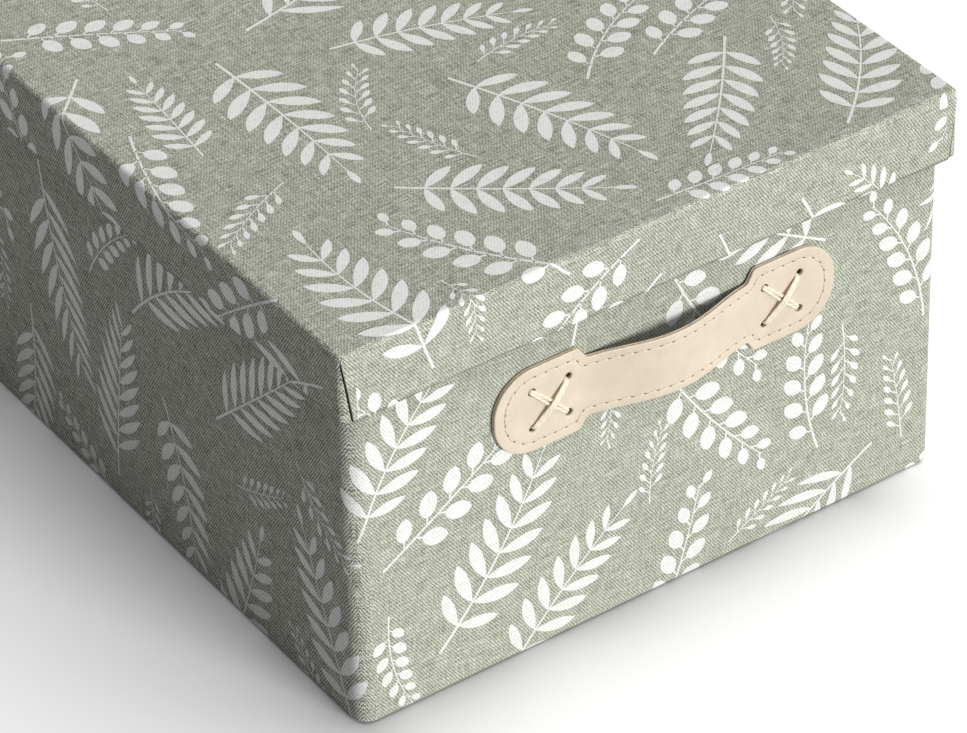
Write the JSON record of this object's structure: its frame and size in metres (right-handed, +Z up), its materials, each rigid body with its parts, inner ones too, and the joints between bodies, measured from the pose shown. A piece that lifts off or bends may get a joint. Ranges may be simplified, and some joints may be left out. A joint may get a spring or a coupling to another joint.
{
  "type": "fabric storage box",
  "caption": "Rigid storage box covered in sage twill with a white leaf print, with a lift-off lid and laced leather handles.",
  "frame": {"origin": "middle of the underside, on the surface that the box stands on", "axes": "+Z up, -Y out of the pictured end with the handle, +X to the right of someone who faces that handle"},
  "size_m": [0.32, 0.4474, 0.203],
  "materials": {
    "body_print": "matt printed twill",
    "lid_print": "matt printed twill",
    "lining": "matt plain cotton",
    "board": "matt grey board",
    "leather": "satin fine grain",
    "backing_leather": "matt",
    "seam_thread": "matt thread",
    "lacing_cord": "waxed cotton cord"
  },
  "bodies": {
    "box": {"base_cloth": "lining", "base_board": "board", "front_wall_board": "board", "back_wall_board": "board", "left_wall_board": "board", "right_wall_board": "board", "body_cover": "body_print", "body_lining": "lining", "front_handle_outer_leather": "leather", "front_handle_backing_leather": "backing_leather", "front_handle_seam_thread": "seam_thread", "front_left_lacing": "lacing_cord", "front_right_lacing": "lacing_cord", "back_handle_outer_leather": "leather", "back_handle_backing_leather": "backing_leather", "back_handle_seam_thread": "seam_thread", "back_left_lacing": "lacing_cord", "back_right_lacing": "lacing_cord"},
    "lid": {"lid_top_board": "board", "lid_front_skirt_board": "board", "lid_back_skirt_board": "board", "lid_left_skirt_board": "board", "lid_right_skirt_board": "board", "lid_cover": "lid_print", "lid_lining": "lining"}
  },
  "joints": [
    {"name": "lid_lift", "type": "slide", "parent": "box", "child": "lid", "axis": [0, 0, 1], "range_m": [0, 0.15]}
  ]
}
